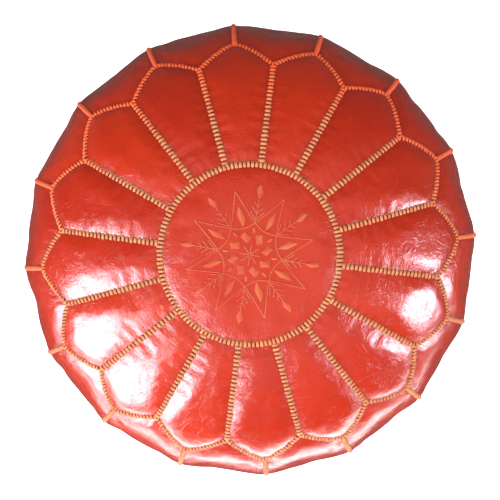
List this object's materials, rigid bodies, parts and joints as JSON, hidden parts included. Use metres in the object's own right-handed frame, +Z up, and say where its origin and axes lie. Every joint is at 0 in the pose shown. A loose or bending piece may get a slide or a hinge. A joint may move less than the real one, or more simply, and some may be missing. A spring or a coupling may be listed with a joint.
{
  "type": "leather floor pouf",
  "caption": "Round stuffed leather floor pouf with a stitched medallion top, petal and side panels, and a zipped base.",
  "frame": {"origin": "on the floor, under the middle of the pouf", "axes": "+Z up through the medallion; X along the zip in the base, with its closed end at -X"},
  "size_m": [0.5344, 0.5344, 0.3308],
  "materials": {
    "cover_leather": "satin",
    "base_leather": "satin",
    "seam_thread": "satin",
    "embroidery_thread": "satin",
    "liner_cotton": "matte",
    "wadding": "matte",
    "zip_tape": "matte",
    "zip_coil": "gloss",
    "zip_metal": "polished"
  },
  "bodies": {
    "root": {"petal_01": "cover_leather", "petal_02": "cover_leather", "petal_03": "cover_leather", "petal_04": "cover_leather", "petal_05": "cover_leather", "petal_06": "cover_leather", "petal_07": "cover_leather", "petal_08": "cover_leather", "petal_09": "cover_leather", "petal_10": "cover_leather", "petal_11": "cover_leather", "petal_12": "cover_leather", "petal_13": "cover_leather", "petal_14": "cover_leather", "petal_15": "cover_leather", "petal_16": "cover_leather", "side_panel_01": "cover_leather", "side_panel_02": "cover_leather", "side_panel_03": "cover_leather", "side_panel_04": "cover_leather", "side_panel_05": "cover_leather", "side_panel_06": "cover_leather", "side_panel_07": "cover_leather", "side_panel_08": "cover_leather", "side_panel_09": "cover_leather", "side_panel_10": "cover_leather", "side_panel_11": "cover_leather", "side_panel_12": "cover_leather", "side_panel_13": "cover_leather", "side_panel_14": "cover_leather", "side_panel_15": "cover_leather", "side_panel_16": "cover_leather", "medallion": "cover_leather", "base_front": "base_leather", "base_back": "base_leather", "medallion_ring_stitches": "seam_thread", "radial_stitches": "seam_thread", "petal_edge_stitches": "seam_thread", "side_seam_stitches": "seam_thread", "base_ring_stitches": "seam_thread", "zip_seam_stitches": "seam_thread", "medallion_embroidery": "embroidery_thread", "liner_bag": "liner_cotton", "stuffing": "wadding", "zip_tape_front": "zip_tape", "zip_tape_back": "zip_tape", "zip_coil_front": "zip_coil", "zip_coil_back": "zip_coil", "zip_end_stops": "zip_metal"},
    "slider": {"zip_slider": "zip_metal"},
    "pull": {"zip_pull": "zip_metal"}
  },
  "joints": [
    {"name": "zip_slide", "type": "slide", "parent": "root", "child": "slider", "axis": [1, 0, 0], "range_m": [0, 0.262]},
    {"name": "zip_pull_pivot", "type": "hinge", "parent": "slider", "child": "pull", "pos_m": [-0.131, 0, 0.0061], "axis": [0, 1, 0], "range_deg": [0, 180]}
  ]
}
